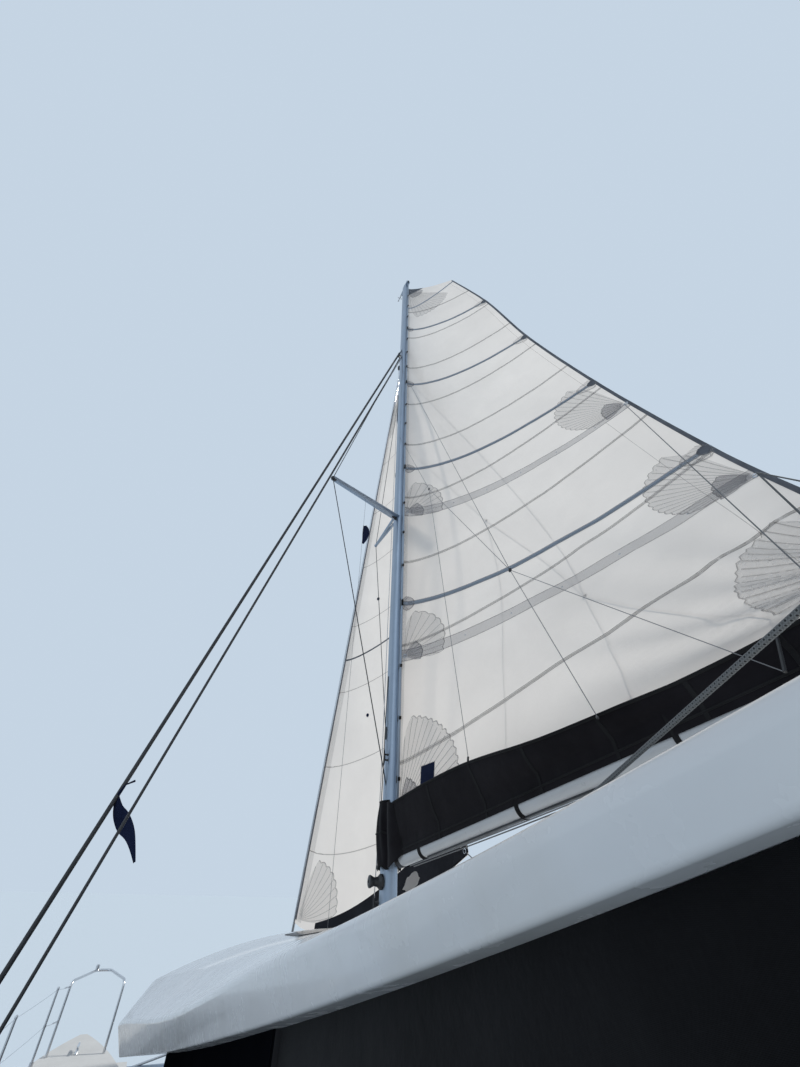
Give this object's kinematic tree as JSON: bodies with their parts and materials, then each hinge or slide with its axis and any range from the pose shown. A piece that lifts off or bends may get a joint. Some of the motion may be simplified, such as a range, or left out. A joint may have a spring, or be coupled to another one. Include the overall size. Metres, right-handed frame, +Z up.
{
  "type": "cruising sailing catamaran",
  "caption": "Twin-hulled cruising sailboat with a moulded cabin and hardtop, swept-shroud mast, full-battened mainsail in an open sail bag, and a furling jib.",
  "frame": {"origin": "on the waterline, on the centreline, amidships", "axes": "+X forward, +Y to port, +Z up"},
  "size_m": [11.6, 6.4204, 18.025],
  "materials": {
    "gelcoat": "moulded white gelcoat",
    "keel_paint": "matt dark blue bottom paint",
    "drive_metal": "satin grey paint",
    "bronze": "dull bronze",
    "engine_paint": "painted casting",
    "dark_acrylic": "dark smoked acrylic",
    "screen_cloth": "black mesh screen",
    "mast_alloy": "anodised",
    "stainless": "polished stainless",
    "sailcloth": "cream woven sailcloth",
    "bag_cloth": "black acrylic canvas",
    "net_cord": "white knotted net",
    "cushion_cloth": "grey vinyl cloth",
    "wood_trim": "satin teak veneer"
  },
  "bodies": {
    "root": {"aft_bulkhead": "gelcoat", "aft_glass": "dark_acrylic", "bag_collar": "bag_cloth", "bridgedeck": "gelcoat", "cabin_front": "gelcoat", "chainplates": "stainless", "coamings": "gelcoat", "cockpit_cushions": "cushion_cloth", "cockpit_seats": "gelcoat", "cockpit_table": "wood_trim", "crossbeam": "mast_alloy", "deck_hatch_frames": "gelcoat", "diamond_stays": "stainless", "engines": "engine_paint", "forestay": "stainless", "front_glass": "dark_acrylic", "gooseneck": "stainless", "hardtop_posts": "mast_alloy", "helm_console": "gelcoat", "helm_seat": "cushion_cloth", "jib": "sailcloth", "jumper_stays": "stainless", "jumper_strut": "mast_alloy", "keels": "keel_paint", "longeron": "mast_alloy", "mast": "mast_alloy", "mast_post": "mast_alloy", "nets": "net_cord", "port_cabin_side": "gelcoat", "port_hull": "gelcoat", "port_screen": "screen_cloth", "port_side_glass": "dark_acrylic", "pulpits": "stainless", "pushpits": "stainless", "roof": "gelcoat", "saildrives": "drive_metal", "saloon_furniture": "wood_trim", "shrouds": "stainless", "spreaders": "mast_alloy", "stanchions": "stainless", "starboard_cabin_side": "gelcoat", "starboard_hull": "gelcoat", "starboard_screen": "screen_cloth", "starboard_side_glass": "dark_acrylic", "striker": "stainless", "winches": "stainless"},
    "boom": {"boom": "mast_alloy", "sail_bag": "bag_cloth", "mainsail": "sailcloth"},
    "port_rudder": {"port_rudder": "keel_paint"},
    "starboard_rudder": {"starboard_rudder": "keel_paint"},
    "port_propeller": {"port_propeller": "bronze"},
    "starboard_propeller": {"starboard_propeller": "bronze"},
    "helm_wheel": {"helm_wheel": "stainless"},
    "saloon_door": {"saloon_door": "mast_alloy", "door_glass": "dark_acrylic"},
    "port_engine_lid": {"port_engine_lid": "gelcoat"},
    "starboard_engine_lid": {"starboard_engine_lid": "gelcoat"},
    "port_deck_hatch": {"port_deck_hatch": "dark_acrylic"},
    "starboard_deck_hatch": {"starboard_deck_hatch": "dark_acrylic"}
  },
  "joints": [
    {"name": "boom_swing", "type": "hinge", "parent": "root", "child": "boom", "pos_m": [0.74, 0, 3.44], "axis": [0, 0, 1], "range_deg": [-59.5, 15]},
    {"name": "port_rudder_turn", "type": "hinge", "parent": "root", "child": "port_rudder", "pos_m": [-4.95, 2.35, -0.3], "axis": [0, 0, 1], "range_deg": [-35, 35]},
    {"name": "starboard_rudder_turn", "type": "hinge", "parent": "root", "child": "starboard_rudder", "pos_m": [-4.95, -2.35, -0.3], "axis": [0, 0, 1], "range_deg": [-35, 35]},
    {"name": "helm_turn", "type": "hinge", "parent": "root", "child": "helm_wheel", "pos_m": [-2.33, -1.09, 1.8], "axis": [1, 0, 0], "range_deg": [-270, 270]},
    {"name": "port_propeller_spin", "type": "hinge", "parent": "root", "child": "port_propeller", "pos_m": [-4.21, 2.35, -0.8], "axis": [1, 0, 0], "continuous": true},
    {"name": "starboard_propeller_spin", "type": "hinge", "parent": "root", "child": "starboard_propeller", "pos_m": [-4.21, -2.35, -0.8], "axis": [1, 0, 0], "continuous": true},
    {"name": "saloon_door_slide", "type": "slide", "parent": "root", "child": "saloon_door", "axis": [0, 1, 0], "range_m": [0, 0.85]},
    {"name": "port_engine_lid_lift", "type": "hinge", "parent": "root", "child": "port_engine_lid", "pos_m": [-3.21, 2.35, 1.28], "axis": [0, 1, 0], "range_deg": [0, 85]},
    {"name": "starboard_engine_lid_lift", "type": "hinge", "parent": "root", "child": "starboard_engine_lid", "pos_m": [-3.21, -2.35, 1.28], "axis": [0, 1, 0], "range_deg": [0, 85]},
    {"name": "port_deck_hatch_lift", "type": "hinge", "parent": "root", "child": "port_deck_hatch", "pos_m": [3.53, 2.35, 1.5053], "axis": [0, 1, 0], "range_deg": [0, 80]},
    {"name": "starboard_deck_hatch_lift", "type": "hinge", "parent": "root", "child": "starboard_deck_hatch", "pos_m": [3.53, -2.35, 1.5053], "axis": [0, 1, 0], "range_deg": [0, 80]}
  ],
  "couplings": [
    {"joint": "starboard_rudder_turn", "follows": "port_rudder_turn", "ratio": 1},
    {"joint": "helm_turn", "follows": "port_rudder_turn", "ratio": 7.7}
  ]
}
